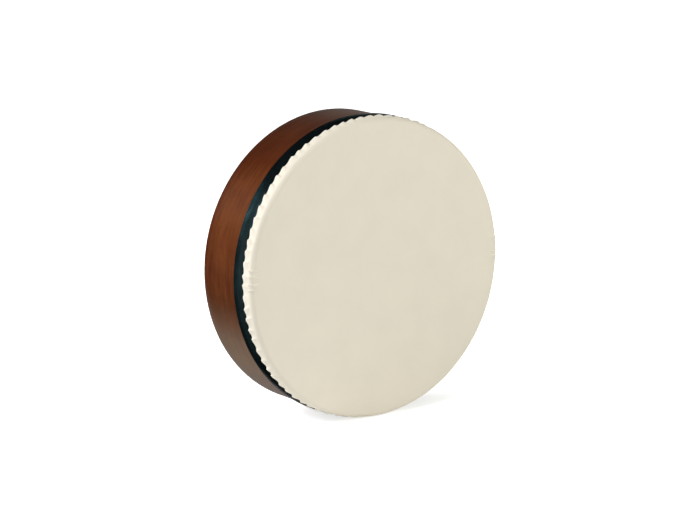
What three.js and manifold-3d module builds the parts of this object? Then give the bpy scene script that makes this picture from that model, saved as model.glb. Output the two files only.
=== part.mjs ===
import * as THREE from 'three';
import { mergeVertices } from 'three/addons/utils/BufferGeometryUtils.js';
import Module from 'manifold-3d';

// Bendir: a shallow frame drum with one pleated head and snare strings under it. Millimetres.
// It is worked out on its own axis, rear rim at height 0 and head on top, and stood on edge at the end.

// Shell, a board bent into a hoop
const SHELL_DIAMETER = 355.6;
const SHELL_DEPTH = 100.8;
const SHELL_WALL = 9;
const REAR_EASE = 1.6;
const BEARING_ROUND = 5;
const BEARING_LAND = 1.2;
const BEARING_BEVEL = 4;
const THUMB_HOLE = 26;
const THUMB_HOLE_FROM_REAR = 32;
const THUMB_HOLE_EASE = 1.2;
const SCARF_LENGTH = 45;
const SCARF_FACET = 11;
const GLUE_LINE = 0.4;

// Head, one sheet that turns over the bearing edge and is gathered in front of the ribbon
const SKIN = 0.5;
const SKIRT = 15.2;
const PLEATS = 84;
const PLEAT_CREST = 1.7;
const PLEAT_VALLEY = 0.3;
const PLEAT_RISE = 0.6;
const VALLEY_START = 0.28;

// Ribbon, glued over the hem, down to the wood behind it and down to the skirt in front of it
const RIBBON_WIDTH = 20;
const RIBBON_THICKNESS = 0.5;
const RIBBON_SEAT = 0.8;
const RIBBON_STEP = 1.4;
const RIBBON_TUCK = 4;
const RIBBON_JOINT_FACET = 17;

// Staples, one in every second valley of the pleats, hidden by the ribbon
const STAPLE_CROWN = 9.5;
const STAPLE_LEG = 6;
const WIRE_WIDTH = 0.75;
const WIRE_THICKNESS = 0.6;
const FACETS_PER_STAPLE = 2;

// Snare strings, two pairs stretched across the drum against the head
const SNARE = 1;
const SNARE_PITCH = 7;
const SNARE_PAIRS_APART = 9;
const SNARE_CENTRE = 6.5;
const KNOT = 2.4;
const KNOT_FROM_EDGE = 13;

// Clearance between pieces that touch, and how far a cutter passes the face it cuts
const SEAT_GAP = 0.3;
const RUN_OUT = 2;
const ARC_STEPS = 2;
const BEARING_STEPS = 4;
const HOLE_SIDES = 24;

const RADIUS = SHELL_DIAMETER / 2;
const INNER_RADIUS = RADIUS - SHELL_WALL;
const PITCH = (2 * Math.PI) / PLEATS;
const FLAT = Math.cos(PITCH / 2);
const ROUND_RADIUS = RADIUS - BEARING_ROUND;
const ROUND_HEIGHT = SHELL_DEPTH - BEARING_ROUND;
const SKIN_INSIDE = RADIUS + SEAT_GAP;
const SKIN_OUTSIDE = SKIN_INSIDE + SKIN;
const CROWN_SEAT = SKIN_OUTSIDE + SEAT_GAP;
const RIBBON_INSIDE = CROWN_SEAT + WIRE_THICKNESS + SEAT_GAP;
const RIBBON_OUTSIDE = RIBBON_INSIDE + RIBBON_THICKNESS;
const RIBBON_FRONT = SHELL_DEPTH - SKIRT;
const RIBBON_REAR = RIBBON_FRONT - RIBBON_WIDTH;
const HEM = RIBBON_REAR + RIBBON_SEAT + RIBBON_STEP + SEAT_GAP;
const STAPLE_HEIGHT = (HEM + RIBBON_FRONT) / 2;
const KNOT_HEIGHT = SHELL_DEPTH - KNOT_FROM_EDGE;
const TOTAL_DEPTH = SHELL_DEPTH + SEAT_GAP + SKIN;
const OUTSIDE = Math.max(SKIN_OUTSIDE + PLEAT_CREST, RIBBON_OUTSIDE);

const UP = new THREE.Vector3(0, 0, 1);
const LIE_ON_AXIS = new THREE.Matrix4().makeRotationX(Math.PI / 2);
const HALF_TURN = new THREE.Matrix4().makeRotationZ(Math.PI);

const wood = new THREE.MeshStandardMaterial({ color: 0x6f402a, roughness: 0.42, metalness: 0 });
const skin = new THREE.MeshStandardMaterial({ color: 0xe2dac8, roughness: 0.6, metalness: 0 });
const woven = new THREE.MeshStandardMaterial({ color: 0x101a1c, roughness: 0.8, metalness: 0 });
const gut = new THREE.MeshStandardMaterial({ color: 0xd8ccae, roughness: 0.5, metalness: 0 });
const steel = new THREE.MeshStandardMaterial({ color: 0xa8abae, roughness: 0.35, metalness: 1 });

const wasm = await Module();
wasm.setup();

function solid(geometry, matrix = new THREE.Matrix4()) {
  const bare = geometry.clone().applyMatrix4(matrix);
  bare.deleteAttribute('normal');
  bare.deleteAttribute('uv');
  const merged = mergeVertices(bare);
  const corners = merged.index.array;
  const triVerts = [];
  for (let t = 0; t < corners.length; t += 3) {
    const [a, b, c] = corners.slice(t, t + 3);
    if (a !== b && b !== c && c !== a) triVerts.push(a, b, c);
  }
  return new wasm.Manifold(
    new wasm.Mesh({
      numProp: 3,
      vertProperties: merged.attributes.position.array,
      triVerts: new Uint32Array(triVerts),
    }),
  );
}

function meshOf(name, body, material) {
  const { vertProperties, triVerts } = body.getMesh();
  const geometry = new THREE.BufferGeometry();
  geometry.setAttribute('position', new THREE.BufferAttribute(vertProperties, 3));
  geometry.setIndex(new THREE.BufferAttribute(triVerts, 1));
  geometry.computeVertexNormals();
  return named(name, geometry, material);
}

function named(name, geometry, material) {
  const mesh = new THREE.Mesh(geometry, material);
  mesh.name = name;
  return mesh;
}

// The hoops are prisms with one facet for each pleat; corner 0 is at the bottom of the drum.
function cornerAngle(k) {
  return k * PITCH - Math.PI / 2;
}

// Axes at the middle of a facet: x along it, y straight out, z towards the rear
function facetFrame(k, radius, height) {
  const angle = cornerAngle(k + 0.5);
  const out = new THREE.Vector3(Math.cos(angle), Math.sin(angle), 0);
  const along = new THREE.Vector3(-out.y, out.x, 0);
  const frame = new THREE.Matrix4().makeBasis(along, out, UP.clone().negate());
  return frame.setPosition(out.x * radius * FLAT, out.y * radius * FLAT, height);
}

function hoop(profile) {
  return solid(new THREE.LatheGeometry(profile, PLEATS), LIE_ON_AXIS);
}

function block(matrix, x, y, z) {
  const [width, middleX] = [x[1] - x[0], (x[0] + x[1]) / 2];
  const [height, middleY] = [y[1] - y[0], (y[0] + y[1]) / 2];
  const [depth, middleZ] = [z[1] - z[0], (z[0] + z[1]) / 2];
  const geometry = new THREE.BoxGeometry(width, height, depth);
  return solid(geometry.translate(middleX, middleY, middleZ), matrix);
}

// Shell

function shellProfile() {
  const path = new THREE.Path();
  path.moveTo(INNER_RADIUS + REAR_EASE, 0);
  path.lineTo(RADIUS - REAR_EASE, 0);
  path.quadraticCurveTo(RADIUS, 0, RADIUS, REAR_EASE);
  path.lineTo(RADIUS, ROUND_HEIGHT);
  path.absarc(ROUND_RADIUS, ROUND_HEIGHT, BEARING_ROUND, 0, Math.PI / 2);
  path.lineTo(ROUND_RADIUS - BEARING_LAND, SHELL_DEPTH);
  path.lineTo(INNER_RADIUS, SHELL_DEPTH - BEARING_BEVEL);
  path.lineTo(INNER_RADIUS, REAR_EASE);
  path.quadraticCurveTo(INNER_RADIUS, 0, INNER_RADIUS + REAR_EASE, 0);
  return path.getPoints(ARC_STEPS);
}

function thumbHole() {
  const radius = THUMB_HOLE / 2;
  const wide = radius + THUMB_HOLE_EASE + RUN_OUT;
  const flare = THUMB_HOLE_EASE + RUN_OUT;
  const bore = new THREE.CylinderGeometry(radius, radius, SHELL_WALL + 2 * RUN_OUT, HOLE_SIDES);
  const outside = new THREE.CylinderGeometry(radius, wide, flare, HOLE_SIDES);
  const inside = new THREE.CylinderGeometry(wide, radius, flare, HOLE_SIDES);
  const height = THUMB_HOLE_FROM_REAR;
  bore.translate(0, -(RADIUS + INNER_RADIUS) / 2, height);
  outside.translate(0, -RADIUS - RUN_OUT + flare / 2, height);
  inside.translate(0, -INNER_RADIUS + RUN_OUT - flare / 2, height);
  return solid(bore).add(solid(outside)).add(solid(inside));
}

// The glue line of the scarf joint: along the outside, across the rear rim and along the inside
function scarfLines() {
  const half = GLUE_LINE / 2;
  const start = cornerAngle(SCARF_FACET + 0.5);
  const end = start + SCARF_LENGTH / RADIUS;
  const from = new THREE.Vector3(Math.cos(start), Math.sin(start), 0).multiplyScalar(RADIUS);
  const to = new THREE.Vector3(Math.cos(end), Math.sin(end), 0).multiplyScalar(INNER_RADIUS);
  const along = to.clone().sub(from);
  const slant = new THREE.Matrix4().makeRotationZ(Math.atan2(along.y, along.x)).setPosition(from);
  const atStart = new THREE.Matrix4().makeRotationZ(start);
  const atEnd = new THREE.Matrix4().makeRotationZ(end);
  const run = [-RUN_OUT, SHELL_DEPTH + RUN_OUT];
  const outside = [RADIUS * FLAT - GLUE_LINE, RADIUS + RUN_OUT];
  const inside = [INNER_RADIUS - RUN_OUT, INNER_RADIUS + GLUE_LINE];
  return [
    block(atStart, outside, [-half, half], run),
    block(slant, [0, along.length()], [-half, half], [-RUN_OUT, GLUE_LINE]),
    block(atEnd, inside, [-half, half], run),
  ];
}

// Staples

const stapleFacets = [];
for (let k = 0; k < PLEATS; k += FACETS_PER_STAPLE) stapleFacets.push(k);

function stapleGeometry() {
  const half = STAPLE_CROWN / 2;
  const shank = half - WIRE_THICKNESS;
  const outline = new THREE.Shape();
  outline.moveTo(-half, -STAPLE_LEG);
  outline.lineTo(-shank, -STAPLE_LEG);
  outline.lineTo(-shank, 0);
  outline.lineTo(shank, 0);
  outline.lineTo(shank, -STAPLE_LEG);
  outline.lineTo(half, -STAPLE_LEG);
  outline.lineTo(half, WIRE_THICKNESS);
  outline.lineTo(-half, WIRE_THICKNESS);
  const geometry = new THREE.ExtrudeGeometry(outline, { depth: WIRE_WIDTH, bevelEnabled: false });
  return geometry.translate(0, 0, -WIRE_WIDTH / 2);
}

// The slots that the two legs of a staple make through the hem and into the wood
function legSlots(facet) {
  const frame = facetFrame(facet, CROWN_SEAT, STAPLE_HEIGHT);
  const outer = STAPLE_CROWN / 2 + SEAT_GAP;
  const inner = STAPLE_CROWN / 2 - WIRE_THICKNESS - SEAT_GAP;
  const depth = [-STAPLE_LEG - SEAT_GAP, 0];
  const side = WIRE_WIDTH / 2 + SEAT_GAP;
  return [
    block(frame, [-outer, -inner], depth, [-side, side]),
    block(frame, [inner, outer], depth, [-side, side]),
  ];
}

function staples() {
  const geometry = stapleGeometry();
  return stapleFacets.map((facet, i) => {
    const staple = named(`staple_${String(i + 1).padStart(2, '0')}`, geometry, steel);
    staple.applyMatrix4(facetFrame(facet, CROWN_SEAT, STAPLE_HEIGHT));
    return staple;
  });
}

// Snare strings

const snareNear = SNARE_PAIRS_APART / 2;
const snareFar = snareNear + SNARE_PITCH;
const snareOffsets = [snareFar, snareNear, -snareNear, -snareFar].map((offset) => SNARE_CENTRE + offset);

// How far from the middle a string at this offset meets the outside of the shell
function reachAt(offset) {
  return Math.sqrt((RADIUS * FLAT) ** 2 - offset ** 2);
}

// An outline drawn across the drum, given a thickness and moved to a string's offset
function acrossDrum(outline, offset, thickness, facet) {
  const core = thickness - 2 * facet;
  const geometry = new THREE.ExtrudeGeometry(outline, {
    depth: core,
    curveSegments: ARC_STEPS,
    bevelEnabled: facet > 0,
    bevelSize: facet,
    bevelThickness: facet,
    bevelSegments: 1,
  });
  return geometry.applyMatrix4(LIE_ON_AXIS).translate(0, offset + core / 2, 0);
}

// A string: up one side, over the bearing edge, straight across and down the other side
function snareString(offset) {
  const facet = SNARE * (1 - Math.SQRT1_2);
  const turn = reachAt(offset) - BEARING_ROUND;
  const outer = BEARING_ROUND - facet;
  const inner = outer - (SNARE - 2 * facet);
  const outline = new THREE.Shape();
  outline.moveTo(turn + outer, KNOT_HEIGHT);
  outline.lineTo(turn + outer, ROUND_HEIGHT);
  outline.absarc(turn, ROUND_HEIGHT, outer, 0, Math.PI / 2);
  outline.absarc(-turn, ROUND_HEIGHT, outer, Math.PI / 2, Math.PI);
  outline.lineTo(-turn - outer, KNOT_HEIGHT);
  outline.lineTo(-turn - inner, KNOT_HEIGHT);
  outline.absarc(-turn, ROUND_HEIGHT, inner, Math.PI, Math.PI / 2, true);
  outline.absarc(turn, ROUND_HEIGHT, inner, Math.PI / 2, 0, true);
  outline.lineTo(turn + inner, KNOT_HEIGHT);
  const knot = new THREE.IcosahedronGeometry(KNOT / 2);
  const reach = reachAt(offset) - KNOT / 2;
  return solid(acrossDrum(outline, offset, SNARE, facet))
    .add(solid(knot.clone().translate(reach, offset, KNOT_HEIGHT)))
    .add(solid(knot.clone().translate(-reach, offset, KNOT_HEIGHT)));
}

// The saw kerf that takes a string over one side of the bearing edge, with the pocket for its knot
function snareKerf(offset) {
  const reach = reachAt(offset);
  const depth = SNARE + SEAT_GAP;
  const start = INNER_RADIUS - RUN_OUT;
  const outline = new THREE.Shape();
  outline.moveTo(start, SHELL_DEPTH - depth);
  outline.lineTo(reach - BEARING_ROUND, SHELL_DEPTH - depth);
  outline.absarc(reach - BEARING_ROUND, ROUND_HEIGHT, BEARING_ROUND - depth, Math.PI / 2, 0, true);
  outline.lineTo(reach - depth, KNOT_HEIGHT);
  outline.lineTo(reach + RUN_OUT, KNOT_HEIGHT);
  outline.lineTo(reach + RUN_OUT, SHELL_DEPTH + RUN_OUT);
  outline.lineTo(start, SHELL_DEPTH + RUN_OUT);
  const kerf = solid(acrossDrum(outline, 0, SNARE + 2 * SEAT_GAP, 0));
  const half = KNOT / 2 + SEAT_GAP;
  const inward = [reach - KNOT - SEAT_GAP, reach + RUN_OUT];
  const pocket = block(new THREE.Matrix4(), inward, [-half, half], [-half, half]);
  return kerf.add(pocket.translate(0, 0, KNOT_HEIGHT));
}

function snareKerfs(offset) {
  const right = snareKerf(offset);
  const left = snareKerf(offset).transform(HALF_TURN.elements);
  return [right.translate(0, offset, 0), left.translate(0, offset, 0)];
}

// Head

// A ring of points round the axis: a corner for each pleat
function plainRing(radius, height) {
  const points = [];
  for (let k = 0; k < PLEATS; k += 1) {
    const angle = cornerAngle(k);
    points.push(new THREE.Vector3(radius * Math.cos(angle), radius * Math.sin(angle), height));
  }
  return points;
}

// A pleated ring: a sharp crest at each corner and a broad valley between two of them
function pleatedRing(radius, height, crest, valley) {
  const corners = plainRing(radius, height);
  const crests = plainRing(radius + crest, height);
  const points = [];
  for (let k = 0; k < PLEATS; k += 1) {
    const angle = cornerAngle(k + 0.5);
    const lift = new THREE.Vector3(Math.cos(angle), Math.sin(angle), 0).multiplyScalar(valley);
    const next = corners[(k + 1) % PLEATS];
    points.push(crests[k]);
    points.push(corners[k].clone().lerp(next, VALLEY_START).add(lift));
    points.push(corners[k].clone().lerp(next, 1 - VALLEY_START).add(lift));
  }
  return points;
}

// Joins rings of points into one closed skin. A ring of a single point closes an end.
function loft(rings) {
  const positions = [];
  const faces = [];
  let first = 0;
  rings.forEach((ring, n) => {
    ring.forEach((point) => positions.push(point.x, point.y, point.z));
    const next = rings[n + 1];
    if (next) stitch(faces, first, ring.length, first + ring.length, next.length);
    first += ring.length;
  });
  const geometry = new THREE.BufferGeometry();
  geometry.setAttribute('position', new THREE.Float32BufferAttribute(positions, 3));
  geometry.setIndex(faces);
  return geometry;
}

// Walks round two rings together, always taking the step whose middle comes first
function stitch(faces, a, countA, b, countB) {
  const stepsA = countA > 1 ? countA : 0;
  const stepsB = countB > 1 ? countB : 0;
  let i = 0;
  let j = 0;
  while (i < stepsA || j < stepsB) {
    const nowA = a + (i % countA);
    const nowB = b + (j % countB);
    const stepA = j >= stepsB || (i < stepsA && (2 * i + 1) * stepsB <= (2 * j + 1) * stepsA);
    if (stepA) {
      i += 1;
      faces.push(nowA, a + (i % countA), nowB);
    } else {
      j += 1;
      faces.push(nowA, b + (j % countB), nowB);
    }
  }
}

// One face of the head from hem to middle, at a radius over the shell's and with its own pleats set back
function headFace(radius, hemLift) {
  const over = radius - RADIUS;
  const pinned = RIBBON_FRONT + SEAT_GAP + hemLift;
  const crestHeight = pinned + PLEAT_RISE;
  const fadeHeight = (crestHeight + ROUND_HEIGHT) / 2;
  const rings = [
    plainRing(radius, HEM),
    plainRing(radius, pinned),
    pleatedRing(radius, crestHeight, PLEAT_CREST, PLEAT_VALLEY),
    pleatedRing(radius, fadeHeight, PLEAT_CREST / 2, PLEAT_VALLEY / 2),
  ];
  for (let s = 0; s <= BEARING_STEPS; s += 1) {
    const angle = (s / BEARING_STEPS) * (Math.PI / 2);
    const bend = BEARING_ROUND + over;
    rings.push(plainRing(ROUND_RADIUS + bend * Math.cos(angle), ROUND_HEIGHT + bend * Math.sin(angle)));
  }
  rings.push([new THREE.Vector3(0, 0, SHELL_DEPTH + over)]);
  return rings;
}

function headBody() {
  const inside = headFace(SKIN_INSIDE, SKIN).reverse();
  const outside = headFace(SKIN_OUTSIDE, 0);
  return solid(loft([...inside, ...outside]));
}

// Ribbon

function ribbonProfile() {
  const low = SKIN_INSIDE;
  const high = RIBBON_INSIDE;
  const seatEnd = RIBBON_REAR + RIBBON_SEAT;
  const stepEnd = seatEnd + RIBBON_STEP;
  const inner = [
    [low, RIBBON_REAR],
    [low, seatEnd],
    [high, stepEnd],
    [high, RIBBON_FRONT - RIBBON_TUCK],
    [CROWN_SEAT, RIBBON_FRONT],
  ];
  const outer = inner.map(([radius, height]) => [radius + RIBBON_THICKNESS, height]);
  const loop = [...outer, ...inner.reverse(), outer[0]];
  return loop.map(([radius, height]) => new THREE.Vector2(radius, height));
}

// The two ends of the ribbon meet in a butt joint
function ribbonJoint() {
  const turn = new THREE.Matrix4().makeRotationZ(cornerAngle(RIBBON_JOINT_FACET + 0.5));
  const across = [RADIUS - RUN_OUT, RIBBON_OUTSIDE + RUN_OUT];
  const half = SEAT_GAP / 2;
  return block(turn, across, [-half, half], [RIBBON_REAR - RUN_OUT, RIBBON_FRONT + RUN_OUT]);
}

// The drum

const cut = (body, cutters) => cutters.reduce((left, cutter) => left.subtract(cutter), body);
const slots = stapleFacets.flatMap(legSlots);
const shellCuts = [thumbHole(), ...scarfLines(), ...snareOffsets.flatMap(snareKerfs), ...slots];

const bendir = new THREE.Group();
bendir.add(meshOf('shell', cut(hoop(shellProfile()), shellCuts), wood));
bendir.add(meshOf('drum_head', cut(headBody(), slots), skin));
bendir.add(meshOf('ribbon', hoop(ribbonProfile()).subtract(ribbonJoint()), woven));
snareOffsets.forEach((offset, i) => bendir.add(meshOf(`snare_string_${i + 1}`, snareString(offset), gut)));
bendir.add(...staples());

// Stood on edge: the head faces -Y, the ribbon or the lowest crest is on the floor, the origin below the middle
bendir.rotation.x = Math.PI / 2;
bendir.position.set(0, TOTAL_DEPTH / 2, OUTSIDE);

export default bendir;
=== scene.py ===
"""Finished surfaces of a bendir, a frame drum with one pleated head, and the studio that it stands in."""

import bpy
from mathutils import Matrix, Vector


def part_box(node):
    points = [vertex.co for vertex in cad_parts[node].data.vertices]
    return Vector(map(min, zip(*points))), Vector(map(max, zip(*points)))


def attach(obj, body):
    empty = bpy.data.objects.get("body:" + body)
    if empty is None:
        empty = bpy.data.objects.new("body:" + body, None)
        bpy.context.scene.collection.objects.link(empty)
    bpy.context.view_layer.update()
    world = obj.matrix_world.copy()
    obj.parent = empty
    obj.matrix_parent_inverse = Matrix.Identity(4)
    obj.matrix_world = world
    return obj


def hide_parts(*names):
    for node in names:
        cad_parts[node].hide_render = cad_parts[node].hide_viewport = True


bl_info = {
    "name": "Bendir",
    "version": (1, 0, 0),
    "blender": (4, 5, 0),
    "location": "3D View > Sidebar > Bendir",
    "description": "Models the hoop, head, ribbon and snare strings of a frame drum round its solid model",
    "category": "Object",
}

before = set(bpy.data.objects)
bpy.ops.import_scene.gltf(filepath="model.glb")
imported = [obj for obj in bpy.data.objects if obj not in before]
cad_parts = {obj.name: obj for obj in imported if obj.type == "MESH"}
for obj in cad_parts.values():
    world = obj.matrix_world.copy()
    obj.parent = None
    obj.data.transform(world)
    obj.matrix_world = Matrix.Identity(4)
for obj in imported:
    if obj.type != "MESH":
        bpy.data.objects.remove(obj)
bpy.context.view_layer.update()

import math
import random

import bmesh
import bpy
from bpy.props import FloatProperty, FloatVectorProperty, IntProperty, PointerProperty
from bpy.types import Operator, Panel, PropertyGroup
from mathutils import Vector

MM = 0.001
TURN = 2 * math.pi
BODY = "root"
IMAGE_WIDTH = 700
UNROLLED = "Unrolled"

# Where the solid model puts the drum: its axis is level, its rear rim faces +Y and its head faces -Y.
hoop_low, hoop_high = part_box("shell")
head_low, head_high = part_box("drum_head")
ribbon_low, ribbon_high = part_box("ribbon")
AXIS_HEIGHT = (hoop_low.z + hoop_high.z) / 2
REAR = hoop_high.y
HOOP_RADIUS = (hoop_high.x - hoop_low.x) / 2
HOOP_DEPTH = REAR - hoop_low.y
HEAD_FACE = REAR - head_low.y
HEM = REAR - head_high.y
CREST_RADIUS = AXIS_HEIGHT - head_low.z
RIBBON_FRONT = REAR - ribbon_low.y
RIBBON_REAR = REAR - ribbon_high.y
RIBBON_RADIUS = AXIS_HEIGHT - ribbon_low.z
SNARES = sorted(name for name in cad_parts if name.startswith("snare_string"))
STRING_BOXES = {name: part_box(name) for name in SNARES}
STRING_LEVELS = {name: (low.z + high.z) / 2 for name, (low, high) in STRING_BOXES.items()}
STAPLES = sorted(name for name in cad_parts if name.startswith("staple"))


def from_screen(red, green, blue):
    """A colour as a screen shows it, from 0 to 255, as the linear colour that shaders use."""
    def straight(value):
        part = value / 255
        return part / 12.92 if part <= 0.04045 else ((part + 0.055) / 1.055) ** 2.4
    return straight(red), straight(green), straight(blue)


def length(name, description, default):
    """A size in metres that a user may change."""
    return FloatProperty(name=name, description=description, default=default, unit="LENGTH", precision=5)


def angle(name, description, degrees):
    """An angle that a user may change."""
    return FloatProperty(name=name, description=description, default=math.radians(degrees), subtype="ANGLE")


def share(name, description, default):
    """A plain number from 0 to 1 that a user may change."""
    return FloatProperty(name=name, description=description, default=default, min=0, max=1, subtype="FACTOR")


def pixels(name, description, default):
    """A distance in pixels of the picture that a user may change."""
    return FloatProperty(name=name, description=description, default=default, subtype="PIXEL")


def colour(name, description, red, green, blue):
    """A colour that a user may change."""
    return FloatVectorProperty(
        name=name, description=description, default=from_screen(red, green, blue),
        subtype="COLOR", min=0, max=1,
    )


class HoopSettings(PropertyGroup):
    """The bent wooden hoop."""

    wall: length("Wall", "Thickness of the board", 9 * MM)
    rear_ease: length("Rear ease", "Radius of the two rear edges", 1.6 * MM)
    bearing_round: length("Bearing round", "Radius that the head turns over", 5 * MM)
    bearing_land: length("Bearing land", "Flat strip on top of the bearing edge", 1.2 * MM)
    bearing_bevel: length("Bearing bevel", "Depth of the bevel inside the bearing edge", 4 * MM)
    thumb_hole: length("Thumb hole", "Diameter of the hole for the thumb", 26 * MM)
    thumb_height: length("Thumb hole height", "From the rear rim to the middle of the thumb hole", 32 * MM)
    thumb_ease: length("Thumb hole ease", "Radius of the edges of the thumb hole", 2.2 * MM)
    scarf_angle: angle("Scarf angle", "Where the scarf joint starts on the outside", -40.714)
    scarf_length: length("Scarf length", "How far the scarf joint runs round the hoop", 45 * MM)
    # Painted light: the board is painted paler where the side lamps light the hoop, and across from there.
    painted_light_angle: angle("Pale stretch", "Where the board took the stain least", 158)
    # Painted reflection: the board is painted paler and olive where the white floor is mirrored in the lower
    # side of the hoop, and across from there.
    painted_reflection_angle: angle("Second pale stretch", "Where the stain has faded", 218)
    dark: colour("Dark grain", "Stain in the dark streaks", 50, 21, 9)
    middle: colour("Stain", "Stain over most of the board", 75, 35, 17)
    light: colour("Light grain", "Stain in the pale streaks", 105, 58, 30)
    # Colour of the painted reflection of the floor in the lower side of the hoop.
    painted_reflection_tint: colour("Faded stain", "Stain in the second pale stretch", 96, 82, 46)
    pore: colour("Pores", "Stain that settled in the pores", 46, 20, 10)
    glue: colour("Glue line", "Line of the scarf joint", 30, 14, 8)


class HeadSettings(PropertyGroup):
    """The head, one sheet that is gathered into pleats in front of the ribbon."""

    pleats: IntProperty(name="Pleats", description="Pleats round the drum", default=84, min=12)
    skin: length("Skin", "Thickness of the sheet", 0.5 * MM)
    seat_gap: length("Seat gap", "Gap between the sheet and the wood", 0.3 * MM)
    puff: length("Puff", "How far the skirt swells out between the ribbon and the rim", 0.35 * MM)
    puff_rise: length("Puff rise", "How far in front of the ribbon the skirt swells most", 1.8 * MM)
    rise: length("Rise", "How far in front of the ribbon a pleat reaches its full height", 0.6 * MM)
    pleat_run: length("Pleat run", "How far a pleat runs from the ribbon towards the rim", 9 * MM)
    jitter: share("Jitter", "How unevenly the pleats are spaced", 0.16)
    lean: share("Lean", "How far a pleat leans to one side on its way to the rim", 0.2)
    draw_down: length("Draw down", "How far the sheet is drawn down at the bearing edge", 0.3 * MM)
    string_bump: length("String bump", "How far a snare string lifts the sheet at the rim", 0.95 * MM)
    cream: colour("Cream", "Colour of the sheet", 226, 218, 199)


class RibbonSettings(PropertyGroup):
    """The woven ribbon over the hem of the head."""

    thickness: length("Thickness", "Thickness of the ribbon", 0.5 * MM)
    seat: length("Seat", "Width that lies on the wood behind the hem", 0.8 * MM)
    step: length("Step", "Width over which it climbs onto the hem", 1.4 * MM)
    tuck: length("Tuck", "Width over which its front comes down onto the skirt", 12 * MM)
    joint_angle: angle("Joint", "Where its two ends meet", -15)
    joint_gap: length("Joint gap", "Gap between its two ends", 0.3 * MM)
    thread: length("Thread", "Distance from one thread to the next", 0.9 * MM)
    black: colour("Black", "Colour of the light that the threads return", 31, 41, 42)


class SnareSettings(PropertyGroup):
    """The snare strings under the head."""

    string: length("String", "Diameter of a string", 1 * MM)
    knot: length("Knot", "Width of the knot at each end", 2.4 * MM)
    knot_from_edge: length("Knot from edge", "From the bearing edge down to the knots", 13 * MM)
    gut: colour("Gut", "Colour of the strings", 214, 200, 168)


class StapleSettings(PropertyGroup):
    """The staples under the ribbon."""

    zinc: colour("Zinc", "Colour of the bright zinc", 186, 188, 190)
    dull: colour("Dull zinc", "Colour of the zinc where it has dulled", 148, 150, 153)


class StudioSettings(PropertyGroup):
    """The camera and the floor."""

    azimuth: angle("Azimuth", "Turn of the camera round the drum", -35.49)
    elevation: angle("Elevation", "Height of the camera above the drum's middle", 11.513)
    distance: length("Distance", "From the camera to the middle of the drum", 3.236)
    focal_pixels: pixels("Focal length", "Focal length in pixels of the picture", 2722.2)
    right: pixels("Right", "How far the drum's middle lies right of the picture's middle", 3.08)
    up: pixels("Up", "How far the drum's middle lies above the picture's middle", 0.61)
    floor: colour("Floor", "Colour of the floor", 250, 250, 250)
    floor_glow: colour("Floor glow", "Glow of the floor near the drum, under white", 218, 218, 216)


# Points and meshes

def on_drum(radius, turn, height):
    """A point by its radius, its angle seen from the head and its height over the rear rim."""
    return Vector((radius * math.cos(turn), REAR - height, AXIS_HEIGHT + radius * math.sin(turn)))


def smooth(low, high, value):
    """Goes from 0 at low to 1 at high, level at both ends."""
    part = min(max((value - low) / (high - low), 0), 1)
    return part * part * (3 - 2 * part)


def arc(centre, radius, start, end, steps):
    """Points (across, along) on an arc, both ends included."""
    turns = [start + (end - start) * i / steps for i in range(steps + 1)]
    return [(centre[0] + radius * math.cos(t), centre[1] + radius * math.sin(t)) for t in turns]


def spread(low, high, count):
    """Evenly spaced numbers between two others, both left out."""
    return [low + (high - low) * (i + 1) / (count + 1) for i in range(count)]


def turns_round(count, first=0):
    """Evenly spaced turns once round, from a first one."""
    return [first + TURN * i / count for i in range(count)]


def add_ring(mesh, points):
    """New vertices for a list of points."""
    return [mesh.verts.new(point) for point in points]


def stitch(mesh, first, second):
    """Faces between two closed rings of any numbers of points. A single point closes an end."""
    if len(first) == len(second):
        for i, low in enumerate(first):
            j = (i + 1) % len(first)
            mesh.faces.new((low, first[j], second[j], second[i]))
        return
    i = j = 0
    steps_a = len(first) if len(first) > 1 else 0
    steps_b = len(second) if len(second) > 1 else 0
    while i < steps_a or j < steps_b:
        low, high = first[i % len(first)], second[j % len(second)]
        next_low, next_high = first[(i + 1) % len(first)], second[(j + 1) % len(second)]
        low_is_nearer = (next_low.co - high.co).length <= (next_high.co - low.co).length
        if j >= steps_b or (i < steps_a and low_is_nearer):
            i += 1
            mesh.faces.new((low, next_low, high))
        else:
            j += 1
            mesh.faces.new((low, next_high, high))


def revolve(mesh, profile, count):
    """A closed profile of (radius, height) points turned round the drum's axis."""
    turns = turns_round(count)
    rings = [add_ring(mesh, [on_drum(radius, turn, height) for turn in turns]) for radius, height in profile]
    for low, high in zip(rings, rings[1:] + rings[:1]):
        stitch(mesh, low, high)


def add_prism(mesh, near, far):
    """A closed prism between two outlines with the same number of points."""
    low, high = add_ring(mesh, near), add_ring(mesh, far)
    stitch(mesh, low, high)
    mesh.faces.new(low[::-1])
    mesh.faces.new(high)


def add_tube(mesh, points, radius, sides):
    """A tube with capped ends along points. Its texture runs along it and once round it."""
    grid = mesh.loops.layers.uv[UNROLLED]
    side = Vector((0, 0, 1))
    rings, runs, run = [], [], 0
    for i, point in enumerate(points):
        before, after = points[max(i - 1, 0)], points[min(i + 1, len(points) - 1)]
        ahead = (after - before).normalized()
        side = (side - ahead * side.dot(ahead)).normalized()
        other = ahead.cross(side)
        spokes = [math.cos(t) * side + math.sin(t) * other for t in turns_round(sides)]
        rings.append(add_ring(mesh, [point + radius * spoke for spoke in spokes]))
        run += (point - points[i - 1]).length if i else 0
        runs.append(run)
    for i in range(len(rings) - 1):
        for k in range(sides):
            j = (k + 1) % sides
            face = mesh.faces.new((rings[i][k], rings[i][j], rings[i + 1][j], rings[i + 1][k]))
            corners = ((k, i), (k + 1, i), (k + 1, i + 1), (k, i + 1))
            for loop, (around, along) in zip(face.loops, corners):
                loop[grid].uv = (runs[along], around / sides)
    for ring, end in ((rings[0][::-1], 0), (rings[-1], run)):
        for loop in mesh.faces.new(ring).loops:
            loop[grid].uv = (end, 0)


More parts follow.
